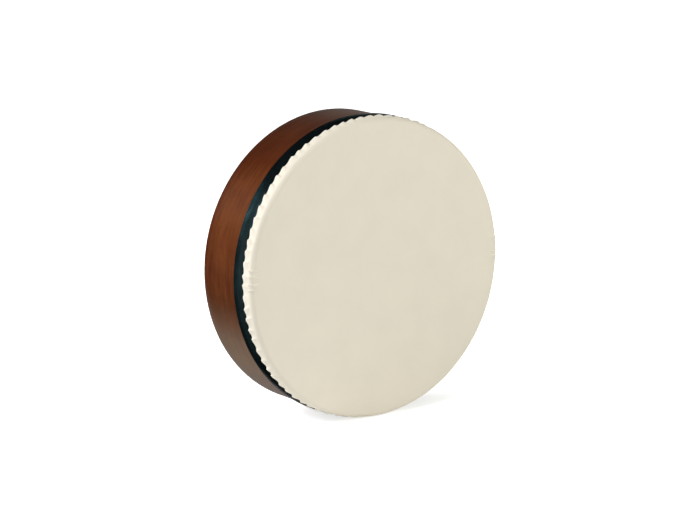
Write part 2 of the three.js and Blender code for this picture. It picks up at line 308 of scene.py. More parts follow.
def unroll(mesh, seam):
    """Texture coordinates in metres: round the drum from a seam, and along its height and across its rims."""
    grid = mesh.loops.layers.uv.get(UNROLLED) or mesh.loops.layers.uv.new(UNROLLED)
    for face in mesh.faces:
        middle = face.calc_center_median()
        base = (math.atan2(middle.z - AXIS_HEIGHT, middle.x) - seam) % TURN
        for loop in face.loops:
            x, z = loop.vert.co.x, loop.vert.co.z - AXIS_HEIGHT
            turn = (math.atan2(z, x) - seam) % TURN
            turn += TURN * round((base - turn) / TURN)
            loop[grid].uv = (turn * HOOP_RADIUS, REAR - loop.vert.co.y - math.hypot(x, z))


def new_object(name, mesh, crease=None):
    """Turns a bmesh into a smooth shaded object, with sharp edges where it bends past a crease angle."""
    data = bpy.data.meshes.new(name)
    mesh.normal_update()
    mesh.to_mesh(data)
    mesh.free()
    data.shade_smooth()
    if crease:
        data.set_sharp_from_angle(angle=crease)
    made = bpy.data.objects.new(name, data)
    bpy.context.scene.collection.objects.link(made)
    return made


def bake_modifiers(piece):
    """Replaces a piece's mesh by what its modifiers make of it."""
    bpy.context.view_layer.update()
    shown = piece.evaluated_get(bpy.context.evaluated_depsgraph_get())
    old = piece.data
    piece.data = bpy.data.meshes.new_from_object(shown)
    piece.data.name = piece.name
    piece.modifiers.clear()
    bpy.data.meshes.remove(old)


def settle(piece, material, slot, *nodes):
    """Gives a piece its finish and its place in the model."""
    piece.data.materials.clear()
    piece.data.materials.append(material)
    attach(piece, BODY)
    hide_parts(*nodes)


# Shader nodes

def add_node(tree, kind, inputs=(), **settings):
    """A new shader node. Its inputs are given by name or number, as plain values or other outputs."""
    made = tree.nodes.new("ShaderNode" + kind)
    for name, value in settings.items():
        setattr(made, name, value)
    for key, value in dict(inputs).items():
        if isinstance(value, bpy.types.NodeSocket):
            tree.links.new(value, made.inputs[key])
        else:
            made.inputs[key].default_value = value
    return made


def reckon(tree, operation, *values, clamp=False):
    """The output of a Math node."""
    made = add_node(tree, "Math", enumerate(values), operation=operation, use_clamp=clamp)
    return made.outputs[0]


def reckon_vector(tree, operation, *values, output="Vector"):
    """An output of a Vector Math node."""
    return add_node(tree, "VectorMath", enumerate(values), operation=operation).outputs[output]


def scale_range(tree, value, span, to):
    """A value moved from one span to another and held within it."""
    inputs = {"Value": value, "From Min": span[0], "From Max": span[1], "To Min": to[0], "To Max": to[1]}
    return add_node(tree, "MapRange", inputs).outputs["Result"]


def noise(tree, vector, scale, detail, roughness, distortion=0.0, **settings):
    """The value of a Noise Texture node."""
    inputs = {
        "Vector": vector, "Scale": scale, "Detail": detail, "Roughness": roughness, "Distortion": distortion,
    }
    return add_node(tree, "TexNoise", inputs, **settings).outputs["Fac"]


# Numbers of the Mix node's sockets for colours
MIX_FACTOR, MIX_FIRST, MIX_SECOND, MIX_COLOUR = 0, 6, 7, 2


def mix_colour(tree, factor, first, second):
    """The colour between two others."""
    ends = [end if isinstance(end, bpy.types.NodeSocket) else (*end, 1) for end in (first, second)]
    inputs = {MIX_FACTOR: factor, MIX_FIRST: ends[0], MIX_SECOND: ends[1]}
    return add_node(tree, "Mix", inputs, data_type="RGBA").outputs[MIX_COLOUR]


def ramp(tree, value, stops):
    """A colour ramp through (position, colour) stops."""
    made = add_node(tree, "ValToRGB", {"Fac": value})
    elements = made.color_ramp.elements
    while len(elements) < len(stops):
        elements.new(0.5)
    for element, (position, tone) in zip(elements, stops):
        element.position = position
        element.color = (*tone, 1)
    return made.outputs["Color"]


def object_position(tree):
    """Where a point lies on its piece, in metres."""
    return add_node(tree, "TexCoord").outputs["Object"]


def unrolled(tree):
    """Where a point lies on the unrolled surface of its piece."""
    return add_node(tree, "UVMap", uv_map=UNROLLED).outputs["UV"]


def axes(tree, vector):
    """The X, Y and Z of a vector."""
    return add_node(tree, "SeparateXYZ", {"Vector": vector}).outputs


# Node groups

NUMBER = "NodeSocketFloat"
VECTOR = "NodeSocketVector"
CLOUD_SPAN = (0.32, 0.68)
FIBRES_PER_GRAIN = 0.22
FIBRE_THINNESS = 8.0


def new_group(name, inputs, outputs):
    """An empty shader node group with named sockets, and its input and output sockets."""
    group = bpy.data.node_groups.new(name, "ShaderNodeTree")
    for label, kind in inputs:
        group.interface.new_socket(label, in_out="INPUT", socket_type=kind)
    for label, kind in outputs:
        group.interface.new_socket(label, in_out="OUTPUT", socket_type=kind)
    return group, group.nodes.new("NodeGroupInput").outputs, group.nodes.new("NodeGroupOutput").inputs


def cloudy_tone(name):
    """Soft patches of more and less stain, dye or polish."""
    wanted = [("Position", VECTOR), ("Patches per metre", NUMBER), ("Low", NUMBER), ("High", NUMBER)]
    group, given, result = new_group(name, wanted, [("Tone", NUMBER)])
    clouds = noise(group, given["Position"], given["Patches per metre"], detail=3.0, roughness=0.55)
    tone = scale_range(group, clouds, CLOUD_SPAN, to=(given["Low"], given["High"]))
    group.links.new(tone, result["Tone"])
    return group


def fine_tooth(name):
    """The fine unevenness of a surface that was coated, gathered or drawn, as a height."""
    wanted = [("Position", VECTOR), ("Grains per metre", NUMBER), ("Fibre", NUMBER)]
    group, given, result = new_group(name, wanted, [("Height", NUMBER)])
    grain = noise(group, given["Position"], given["Grains per metre"], detail=2.0, roughness=0.6)
    coarse = reckon(group, "MULTIPLY", given["Grains per metre"], FIBRES_PER_GRAIN)
    fibres = noise(group, given["Position"], coarse, detail=3.0, roughness=0.5, distortion=1.2)
    lines = reckon(group, "ABSOLUTE", reckon(group, "SUBTRACT", fibres, 0.5))
    strands = reckon(group, "SUBTRACT", 1.0, reckon(group, "MULTIPLY", lines, FIBRE_THINNESS), clamp=True)
    weighted = reckon(group, "MULTIPLY", strands, given["Fibre"])
    group.links.new(reckon(group, "ADD", grain, weighted), result["Height"])
    return group


def place_group(tree, name, build, inputs):
    """The output of a node group, built once and placed in each material with its own values."""
    group = bpy.data.node_groups.get(name) or build(name)
    return add_node(tree, "Group", inputs, node_tree=group).outputs[0]


def patches(tree, per_metre, low=0.0, high=1.0):
    """Soft patches over a piece, from low to high."""
    values = {"Position": object_position(tree), "Patches per metre": per_metre, "Low": low, "High": high}
    return place_group(tree, "Cloudy tone", cloudy_tone, values)


def tooth(tree, per_metre, fibre):
    """Fine unevenness over a piece, with some share of fibres in it."""
    values = {"Position": object_position(tree), "Grains per metre": per_metre, "Fibre": fibre}
    return place_group(tree, "Fine tooth", fine_tooth, values)


# Materials

# How far each mark moves the tone of the board, and where its three stains lie on that scale
STREAK_TONE, FIBRE_TONE, CLOUD_TONE = 0.25, 0.3, 0.08
# The lit side of the hoop and the floor's reflection in its lower side are painted into the board's tone.
PAINTED_LIGHT_TONE, PAINTED_REFLECTION_TONE, REAR_TONE = 0.3, 0.22, -0.09
DARK_AT, MIDDLE_AT, LIGHT_AT = 0.14, 0.44, 0.7
# How much of the stain is hidden by pores, by the painted reflection of the floor and by glue
PORE_COVER, PAINTED_REFLECTION_COVER, GLUE_COVER = 0.35, 0.45, 0.8
FIBRE_RELIEF, PORE_RELIEF = 0.5, -0.6
# Heights over the rear rim between which the board grows paler
REAR_FADE = (3 * MM, 28 * MM)
# How far from its plane the glue line starts to fade and ends, and its reach in lengths of the scarf
GLUE_FADE = (0.02 * MM, 0.06 * MM)
GLUE_REACH = 1.2
THREAD_FULLNESS = 0.35
GUT_STRANDS = 3
GUT_LAY = 3 * MM
GUT_SHADE = (0.78, 0.7, 0.55)
GUT_GRAIN = 0.3


def new_material(name, **uniform):
    """A material with one Principled shader. Values that are even all over go straight on its sockets."""
    material = bpy.data.materials.new(name)
    material.use_nodes = True
    shader = material.node_tree.nodes["Principled BSDF"]
    for label, value in uniform.items():
        shader.inputs[label.replace("_", " ")].default_value = value
    return material, material.node_tree, shader


def feed(shader, **outputs):
    """Links what changes over the surface to the shader's sockets, by their names."""
    for label, output in outputs.items():
        shader.id_data.links.new(output, shader.inputs[label.replace("_", " ")])


def bump(tree, shader, height, distance, strength=1.0):
    """Feeds a height, counted in steps of a distance, to the shader's normal."""
    made = add_node(tree, "Bump", {"Height": height, "Distance": distance, "Strength": strength})
    feed(shader, Normal=made.outputs["Normal"])


def cloud(tree, shader, per_metre, first, second, roughness):
    """Soft patches that change the colour and the polish of a surface together."""
    tone = patches(tree, per_metre)
    feed(shader, Base_Color=mix_colour(tree, tone, first, second))
    feed(shader, Roughness=scale_range(tree, tone, (0, 1), to=roughness))


def dimmed(tone, part):
    """A colour that returns only a part of its light."""
    return [value * part for value in tone]


def stretched_noise(tree, along, across, detail):
    """Noise on the unrolled surface, drawn out along the grain. Along and across are marks per metre."""
    sized = reckon_vector(tree, "MULTIPLY", unrolled(tree), (along, across, 1))
    return noise(tree, sized, 1.0, detail, roughness=0.55, noise_dimensions="2D")


def stained_wood(hoop):
    """Brown stained board under a satin lacquer, with its grain running round the hoop."""
    material, tree, shader = new_material("stained_wood", Specular_IOR_Level=0.0, Coat_Roughness=0.3)
    streaks = stretched_noise(tree, along=14, across=170, detail=3.0)
    fibres = stretched_noise(tree, along=45, across=1500, detail=3.0)
    specks = stretched_noise(tree, along=130, across=2800, detail=1.0)
    pores = scale_range(tree, specks, (0.62, 0.72), to=(0, 1))
    # Painted reflection of the white floor in the lower side of the hoop, and across from it.
    painted_reflection = painted_light_stretch(tree, hoop, hoop.painted_reflection_angle, narrowness=14.0)
    marks = (
        (streaks, STREAK_TONE),
        (fibres, FIBRE_TONE),
        (patches(tree, per_metre=30), CLOUD_TONE),
        # Painted light where the side lamps fall on the hoop, and across from it.
        (painted_light_stretch(tree, hoop, hoop.painted_light_angle, narrowness=6.0), PAINTED_LIGHT_TONE),
        (painted_reflection, PAINTED_REFLECTION_TONE),
        (rear_shade(tree), REAR_TONE),
    )
    figure = 0.0
    for mark, tone in marks:
        figure = reckon(tree, "MULTIPLY_ADD", mark, tone, figure)
    stain = ramp(tree, figure, [(DARK_AT, hoop.dark), (MIDDLE_AT, hoop.middle), (LIGHT_AT, hoop.light)])
    layers = (
        # The painted reflection of the floor tints the stain olive; the pores and the glue line are real.
        (painted_reflection, PAINTED_REFLECTION_COVER, hoop.painted_reflection_tint),
        (pores, PORE_COVER, hoop.pore),
        (glue_line(tree, hoop), GLUE_COVER, hoop.glue),
    )
    for mask, cover, tone in layers:
        stain = mix_colour(tree, reckon(tree, "MULTIPLY", mask, cover), stain, tone)
    facing = add_node(tree, "LayerWeight").outputs["Facing"]
    feed(
        shader, Base_Color=stain,
        Roughness=scale_range(tree, figure, (0.2, 0.64), to=(0.38, 0.3)),
        Coat_Weight=scale_range(tree, facing, (0.51, 0.62), to=(0.012, 0.27)),
    )
    sunk = reckon(tree, "MULTIPLY", pores, PORE_RELIEF)
    bump(tree, shader, reckon(tree, "MULTIPLY_ADD", fibres, FIBRE_RELIEF, sunk), distance=0.04 * MM)
    return material


def painted_light_stretch(tree, hoop, middle, narrowness):
    """How much light is painted onto the board round the hoop: 1 at an angle and across from it, 0 half way
    between them.
    """
    run = axes(tree, unrolled(tree))["X"]
    turn = reckon(tree, "MULTIPLY_ADD", run, 1 / HOOP_RADIUS, hoop.scarf_angle - middle)
    return reckon(tree, "POWER", reckon(tree, "ABSOLUTE", reckon(tree, "COSINE", turn)), narrowness)


def rear_shade(tree):
    """How much more stain the board holds towards its rear edge, from 1 there to 0."""
    height = axes(tree, unrolled(tree))["Y"]
    return scale_range(tree, height, [edge - HOOP_RADIUS for edge in REAR_FADE], to=(1, 0))


def glue_line(tree, hoop):
    """A mask for the thin slanting line where the two ends of the board are glued."""
    start, end = hoop.scarf_angle, hoop.scarf_angle + hoop.scarf_length / HOOP_RADIUS
    outer = on_drum(HOOP_RADIUS, start, 0)
    inner = on_drum(HOOP_RADIUS - hoop.wall, end, 0)
    across = (inner - outer).cross(Vector((0, 1, 0))).normalized()
    offset = reckon_vector(tree, "SUBTRACT", object_position(tree), outer)
    off_plane = reckon(tree, "ABSOLUTE", reckon_vector(tree, "DOT_PRODUCT", offset, across, output="Value"))
    line = scale_range(tree, off_plane, GLUE_FADE, to=(1, 0))
    away = reckon_vector(tree, "LENGTH", reckon_vector(tree, "MULTIPLY", offset, (1, 0, 1)), output="Value")
    return reckon(tree, "MULTIPLY", line, reckon(tree, "LESS_THAN", away, hoop.scarf_length * GLUE_REACH))


def cream_skin(head):
    """Cream coated sheet, matt, with a faint fibrous tooth."""
    material, tree, shader = new_material("cream_skin", Specular_IOR_Level=0.2)
    cloud(tree, shader, 22, dimmed(head.cream, 0.965), head.cream, roughness=(0.5, 0.6))
    bump(tree, shader, tooth(tree, per_metre=2200, fibre=0.3), distance=0.02 * MM)
    return material


def woven_ribbon(ribbon):
    """Black woven tape: bright threads over and under, which gleam only where a lamp is mirrored in them."""
    material, tree, shader = new_material(
        "woven_ribbon", Metallic=0.7, Specular_IOR_Level=0.0, Specular_Tint=(0.35, 0.35, 0.35, 1)
    )
    threads = reckon_vector(tree, "SCALE", unrolled(tree))
    threads.node.inputs["Scale"].default_value = math.pi / ribbon.thread
    split = axes(tree, threads)
    wave_x, wave_y = reckon(tree, "SINE", split["X"]), reckon(tree, "SINE", split["Y"])
    hill_x, hill_y = reckon(tree, "ABSOLUTE", wave_x), reckon(tree, "ABSOLUTE", wave_y)
    warp = reckon(tree, "MULTIPLY", hill_y, reckon(tree, "POWER", hill_x, THREAD_FULLNESS))
    weft = reckon(tree, "MULTIPLY", hill_x, reckon(tree, "POWER", hill_y, THREAD_FULLNESS))
    over = reckon(tree, "GREATER_THAN", reckon(tree, "MULTIPLY", wave_x, wave_y), 0.0)
    height = reckon(tree, "ADD", weft, reckon(tree, "MULTIPLY", over, reckon(tree, "SUBTRACT", warp, weft)))
    dye = patches(tree, per_metre=60, low=0.55)
    # Painted shade: the colour is darker where the weave lies low between the threads, on top of the dye's
    # random tone.
    depth = reckon(tree, "MULTIPLY", dye, scale_range(tree, height, (0, 1), to=(0.35, 1.0)))
    feed(
        shader,
        Base_Color=mix_colour(tree, depth, dimmed(ribbon.black, 0.25), ribbon.black),
        Roughness=scale_range(tree, dye, (0.5, 1), to=(0.26, 0.2)),
    )
    bump(tree, shader, height, distance=0.08 * MM, strength=0.4)
    return material


def twisted_gut(snare):
    """Pale gut with the twist of its strands."""
    material, tree, shader = new_material("twisted_gut", Specular_IOR_Level=0.5)
    split = axes(tree, unrolled(tree))
    lay = reckon(tree, "MULTIPLY", split["X"], TURN / GUT_LAY)
    strands = reckon(tree, "SINE", reckon(tree, "MULTIPLY_ADD", split["Y"], GUT_STRANDS * TURN, lay))
    shade = [value * part for value, part in zip(snare.gut, GUT_SHADE)]
    cloud(tree, shader, 120, shade, snare.gut, roughness=(0.45, 0.32))
    grain = tooth(tree, per_metre=4000, fibre=0.4)
    bump(tree, shader, reckon(tree, "MULTIPLY_ADD", grain, GUT_GRAIN, strands), distance=0.05 * MM)
    return material


def galvanised_wire(staple):
    """Dull zinc on drawn wire."""
    material, tree, shader = new_material("galvanised_wire", Metallic=1.0)
    cloud(tree, shader, 300, staple.dull, staple.zinc, roughness=(0.5, 0.34))
    bump(tree, shader, tooth(tree, per_metre=6000, fibre=0.0), distance=0.02 * MM)
    return material


# Hoop

HOOP_STEPS = 420
WALL_ROWS = 11
EDGE_STEPS = 5
BEARING_STEPS = 8
HOLE_STEPS = 56
HOOP_CREASE = math.radians(32)
# How far a cutter stands clear of the board
RUN_OUT = 2 * MM


def hoop_profile(hoop):
    """The section of the board: eased rear edges, round bearing edge with a land, and an inner bevel."""
    outer, inner = HOOP_RADIUS, HOOP_RADIUS - hoop.wall
    ease, bend = hoop.rear_ease, hoop.bearing_round
    shoulder = HOOP_DEPTH - bend
    bevel_top = HOOP_DEPTH - hoop.bearing_bevel
    profile = arc((outer - ease, ease), ease, -math.pi / 2, 0, EDGE_STEPS)
    profile += [(outer, height) for height in spread(ease, shoulder, WALL_ROWS)]
    profile += arc((outer - bend, shoulder), bend, 0, math.pi / 2, BEARING_STEPS)
    profile += [(outer - bend - hoop.bearing_land, HOOP_DEPTH), (inner, bevel_top)]
    profile += [(inner, height) for height in spread(bevel_top, ease, WALL_ROWS)]
    profile += arc((inner + ease, ease), ease, math.pi, 1.5 * math.pi, EDGE_STEPS)
    return profile


def add_thumb_hole(mesh, hoop):
    """The cutter of the thumb hole at the foot of the drum, flared at both faces of the board."""
    radius, ease = hoop.thumb_hole / 2, hoop.thumb_ease
    outer, inner = HOOP_RADIUS, HOOP_RADIUS - hoop.wall
    flare = arc((0, 0), ease, math.pi / 2, 0, EDGE_STEPS)
    wide = radius + ease
    outside = [(wide - across, outer - ease + along) for across, along in flare]
    inside = [(wide - across, inner + ease - along) for across, along in reversed(flare)]
    sections = [(wide, outer + RUN_OUT), *outside, *inside, (wide, inner - RUN_OUT)]
    centre = on_drum(0, 0, hoop.thumb_height)
    rings = []
    for across, depth in sections:
        turns = turns_round(HOLE_STEPS)
        circle = [Vector((across * math.cos(t), across * math.sin(t), -depth)) for t in turns]
        rings.append(add_ring(mesh, [centre + point for point in circle]))
    for low, high in zip(rings, rings[1:]):
        stitch(mesh, low, high)
    mesh.faces.new(rings[0][::-1])
    mesh.faces.new(rings[-1])


def add_kerfs(mesh, hoop, head, snare):
    """The cutters of the saw kerfs that take the strings over both sides of the bearing edge."""
    depth = snare.string + head.seat_gap
    half = snare.string / 2 + head.seat_gap
    top = HOOP_DEPTH + head.seat_gap
    foot = HOOP_DEPTH - snare.knot_from_edge - snare.knot / 2
    for name in SNARES:
        level = STRING_LEVELS[name]
        reach = math.sqrt(HOOP_RADIUS ** 2 - (level - AXIS_HEIGHT) ** 2)
        bend = (reach - hoop.bearing_round, HOOP_DEPTH - hoop.bearing_round)
        outline = [(HOOP_RADIUS - hoop.wall - depth, HOOP_DEPTH - depth)]
        outline += arc(bend, hoop.bearing_round - depth, math.pi / 2, 0, BEARING_STEPS)
        outline += [(reach - depth, foot), (reach + depth, foot), (reach + depth, top), (outline[0][0], top)]
        for side in (1, -1):
            near = [Vector((side * x, REAR - height, level - half)) for x, height in outline]
            far = [point + Vector((0, 0, 2 * half)) for point in near]
            add_prism(mesh, near[::side], far[::side])


class BENDIR_OT_hoop(Operator):
    """Bends the stained hoop and cuts its thumb hole and string kerfs"""

    bl_idname = "bendir.hoop"
    bl_label = "Build hoop"
    bl_options = {"REGISTER", "UNDO"}

    def execute(self, context):
        hoop = context.scene.bendir_hoop
        board = bmesh.new()
        revolve(board, hoop_profile(hoop), HOOP_STEPS)
        cuts = bmesh.new()
        add_thumb_hole(cuts, hoop)
        add_kerfs(cuts, hoop, context.scene.bendir_head, context.scene.bendir_snare)
        bmesh.ops.recalc_face_normals(cuts, faces=cuts.faces)
        cutter = new_object("hoop_cutter", cuts)
        piece = new_object("bent_hoop", board)
        cut = piece.modifiers.new("Cuts", "BOOLEAN")
        cut.operation, cut.solver, cut.object = "DIFFERENCE", "EXACT", cutter
        bake_modifiers(piece)
        bpy.data.objects.remove(cutter)
        whole = bmesh.new()
        whole.from_mesh(piece.data)
        unroll(whole, hoop.scarf_angle)
        whole.to_mesh(piece.data)
        whole.free()
        piece.data.shade_smooth()
        piece.data.set_sharp_from_angle(angle=HOOP_CREASE)
        settle(piece, stained_wood(hoop), "lacquered_wood", "shell")
        return {"FINISHED"}


# Head

# Points from crest to crest of the pleats and how they crowd at the crests, then the pleats' form
PLEAT_STEPS = 18
PLEAT_BUNCHING = 0.85
PLEAT_SEED = 11
PLEAT_SIZES = (1.0, 1.35)
PLEAT_SHARPNESS = 0.85
PLEAT_SLANT = 2.2
# Rows of the skirt under the ribbon, where the pleats rise and from there to the rim
HEM_ROWS = 2
RISE_ROWS = 6
SKIRT_ROWS = 12
SKIRT_CROWDING = 1.4
ROUND_STEPS = 10
RIM_STEPS = 1176
# Rings of the face, by their share of its radius and of the columns over the rim
FLAT_RINGS = (
    (0.99, 1), (0.98, 1), (0.97, 1), (0.96, 1), (0.95, 0.5), (0.93, 0.5), (0.9, 0.25), (0.86, 0.25),
    (0.78, 0.125), (0.55, 0.0625), (0.28, 0.03125),
)
# Share of the face's radius at which the sheet starts to be drawn down
DRAWN_FROM = 0.95
# Bumps over the strings: their half width, extra columns, fade inwards from the rim and rise below the face
BUMP_WIDTH = 0.95 * MM
BUMP_REACH = 3 * BUMP_WIDTH
BUMP_COLUMNS = 16
BUMP_FADE = (4 * MM, 13 * MM)
BUMP_FOOT = (16 * MM, 5 * MM)


def crest_turns(head):
    """Each pleat's angle, how far it leans and its size, a little uneven as gathered by hand."""
    draw = random.Random(PLEAT_SEED)
    pitch = TURN / head.pleats
    turns = []
    for k in range(head.pleats):
        shift = head.jitter * pitch * draw.uniform(-1, 1)
        lean = head.lean * pitch * draw.uniform(-1, 1)
        turns.append((k * pitch - math.pi / 2 + shift, lean, draw.uniform(*PLEAT_SIZES)))
    return turns


def skirt_heights(head, shoulder):
    """Heights of the rows of the skirt, close together where the pleats rise from the ribbon."""
    full = RIBBON_FRONT + head.rise
    rows = [HEM, *spread(HEM, RIBBON_FRONT, HEM_ROWS), RIBBON_FRONT]
    rows += [*spread(RIBBON_FRONT, full, RISE_ROWS), full]
    rows += [full + (shoulder - full) * part ** SKIRT_CROWDING for part in spread(0, 1, SKIRT_ROWS)]
    return rows


def skirt_row(head, crests, radius, height, shoulder):
    """One row of the skirt: sharp crests with round valleys between them, pressed flat by the floor."""
    full = RIBBON_FRONT + head.rise
    fade = 1 - min(max((height - full) / head.pleat_run, 0), 1) ** 2
    crest = (CREST_RADIUS - radius) * smooth(RIBBON_FRONT, full, height) * fade
    widest = RIBBON_FRONT + head.puff_rise
    valley = head.puff * smooth(RIBBON_FRONT, widest, height) * (1 - smooth(widest, shoulder, height))
    along = smooth(full, shoulder, height)
    points = []
    for k, (turn, lean, size) in enumerate(crests):
        next_turn, next_lean, next_size = crests[(k + 1) % len(crests)]
        if k + 1 == len(crests):
            next_turn += TURN
        here = turn + lean * along
        there = next_turn + next_lean * along
        for i in range(PLEAT_STEPS):
            even = TURN * i / PLEAT_STEPS
            part = (even - PLEAT_BUNCHING * math.sin(even)) / TURN
            fold = 1 - math.sin(math.pi * part ** PLEAT_SLANT) ** PLEAT_SHARPNESS
            tall = size + (next_size - size) * part
            lift = valley + max(crest * tall - valley, 0) * fold
            point = on_drum(radius + lift, here + (there - here) * part, height)
            point.z = max(point.z, 0)
            points.append(point)
    return points


def rim_turns(first):
    """Angles of the columns over the rim from a first one, closer where the strings lift the sheet."""
    turns = turns_round(RIM_STEPS, first)
    for level in STRING_LEVELS.values():
        aside = math.asin((level - AXIS_HEIGHT) / HOOP_RADIUS)
        near = BUMP_REACH / HOOP_RADIUS
        for middle in (aside, math.pi - aside):
            turns += [middle + near * part for part in spread(-1, 1, BUMP_COLUMNS)]
    return sorted((turn - first) % TURN + first for turn in turns)


def string_lift(head, point, height):
    """How far the snare strings push the sheet out near the rim at this point."""
    lift = sum(math.exp(-((point.z - level) / BUMP_WIDTH) ** 2) for level in STRING_LEVELS.values())
    from_edge = HOOP_RADIUS - math.hypot(point.x, point.z - AXIS_HEIGHT)
    up = smooth(HEAD_FACE - BUMP_FOOT[0], HEAD_FACE - BUMP_FOOT[1], height)
    return head.string_bump * lift * up * (1 - smooth(*BUMP_FADE, from_edge))


def head_rows(head, hoop):
    """Rows of points on the outside of the sheet, from its hem over the rim to the middle of its face."""
    over = head.seat_gap + head.skin
    bend = hoop.bearing_round + over
    radius = HOOP_RADIUS + over
    slope = math.atan(2 * head.draw_down / ((1 - DRAWN_FROM) * (radius - bend)))
    shoulder = HEAD_FACE - head.draw_down - bend * math.cos(slope)
    crests = crest_turns(head)
    rows = [skirt_row(head, crests, radius, height, shoulder) for height in skirt_heights(head, shoulder)]
    columns = rim_turns(crests[0][0] + crests[0][1])
    turned = arc((radius - bend, shoulder), bend, 0, math.pi / 2 - slope, ROUND_STEPS)
    for across, height in turned:
        row = []
        for turn in columns:
            point = on_drum(across, turn, height)
            out = (point - on_drum(radius - bend, turn, shoulder)).normalized()
            row.append(point + out * string_lift(head, point, height))
        rows.append(row)
    for size, part in FLAT_RINGS:
        turns = columns if part == 1 else turns_round(int(RIM_STEPS * part), columns[0])
        height = HEAD_FACE - head.draw_down * max((size - DRAWN_FROM) / (1 - DRAWN_FROM), 0) ** 2
        ring = [on_drum(turned[-1][0] * size, turn, height) for turn in turns]
        rows.append([point - Vector((0, string_lift(head, point, HEAD_FACE), 0)) for point in ring])
    rows.append([on_drum(0, 0, HEAD_FACE)])
    return rows


class BENDIR_OT_head(Operator):
    """Stretches the pleated head over the bearing edge"""

    bl_idname = "bendir.head"
    bl_label = "Build head"
    bl_options = {"REGISTER", "UNDO"}

    def execute(self, context):
        head = context.scene.bendir_head
        sheet = bmesh.new()
        rings = [add_ring(sheet, row) for row in head_rows(head, context.scene.bendir_hoop)]
        for low, high in zip(rings, rings[1:]):
            stitch(sheet, low, high)
        piece = new_object("pleated_head", sheet)
        thick = piece.modifiers.new("Skin", "SOLIDIFY")
        thick.thickness, thick.offset, thick.use_quality_normals = head.skin, -1, True
        bake_modifiers(piece)
        settle(piece, cream_skin(head), "head_skin", "drum_head")
        return {"FINISHED"}


# Ribbon

RIBBON_STEPS = 672
RIBBON_ROWS = 28
RIBBON_EDGE_STEPS = 4
RIBBON_CREASE = math.radians(50)
# How much thicker the woven edges are, and how far from them that ends
SELVEDGE = 0.08 * MM
SELVEDGE_FADE = (0.8 * MM, 1.3 * MM)


def ribbon_profile(ribbon, head):
    """The section of the ribbon: off the wood onto the hem and down onto the skirt, with thicker edges."""
    thick = ribbon.thickness
    low = HOOP_RADIUS + head.seat_gap
    skirt = low + head.skin
    high = RIBBON_RADIUS - thick
    width = RIBBON_FRONT - RIBBON_REAR

    def inside(part):
        climb = (high - low) * smooth(ribbon.seat, ribbon.seat + ribbon.step, part * width)
        return low + climb - (high - skirt) * smooth(width - ribbon.tuck, width, part * width)

    def edge(part):
        from_edge = min(part, 1 - part) * width
        return SELVEDGE * (1 - smooth(*SELVEDGE_FADE, from_edge))

    parts = [thick / 2 / width, *spread(0, 1, RIBBON_ROWS), 1 - thick / 2 / width]
    outer = [(inside(p) + thick + edge(p), RIBBON_REAR + p * width) for p in parts]
    inner = [(inside(p), RIBBON_REAR + p * width) for p in reversed(parts)]
    half = thick / 2
    front = arc((skirt + half, RIBBON_FRONT - half), half, 0, math.pi, RIBBON_EDGE_STEPS)
    rear = arc((low + half, RIBBON_REAR + half), half, math.pi, TURN, RIBBON_EDGE_STEPS)
    return outer + front[1:-1] + inner + rear[1:-1]


class BENDIR_OT_ribbon(Operator):
    """Lays the woven ribbon over the hem of the head"""

    bl_idname = "bendir.ribbon"
    bl_label = "Build ribbon"
    bl_options = {"REGISTER", "UNDO"}

    def execute(self, context):
        ribbon = context.scene.bendir_ribbon
        profile = ribbon_profile(ribbon, context.scene.bendir_head)
        gap = ribbon.joint_gap / RIBBON_RADIUS
        start, run = ribbon.joint_angle + gap / 2, TURN - gap
        tape = bmesh.new()
        rows = []
        for i in range(RIBBON_STEPS + 1):
            turn = start + run * i / RIBBON_STEPS
            rows.append(add_ring(tape, [on_drum(radius, turn, height) for radius, height in profile]))
        for low, high in zip(rows, rows[1:]):
            stitch(tape, high, low)
        tape.faces.new(rows[0])
        tape.faces.new(rows[-1][::-1])
        bmesh.ops.recalc_face_normals(tape, faces=tape.faces)
        unroll(tape, ribbon.joint_angle)
        piece = new_object("woven_ribbon", tape, RIBBON_CREASE)
        settle(piece, woven_ribbon(ribbon), "woven_ribbon", "ribbon")
        return {"FINISHED"}


# Snare strings and staples

STRING_SIDES = 14
STRING_STEPS = 60
STRING_CREASE = math.radians(60)
KNOT_STEPS = 48
# How thin the string is drawn in a knot
KNOT_DRAW = 0.8
# Width of the trefoil that the formula of a knot gives
TREFOIL_WIDTH = 6


def knot_points(centre, size):
    """A trefoil, the path of an overhand knot drawn tight."""
    points = []
    for i in range(KNOT_STEPS + 1):
        t = TURN * i / KNOT_STEPS
        across = math.sin(t) + 2 * math.sin(2 * t)
        along = math.cos(t) - 2 * math.cos(2 * t)
        points.append(centre + Vector((across, along, -math.sin(3 * t))) * size / TREFOIL_WIDTH)
    return points


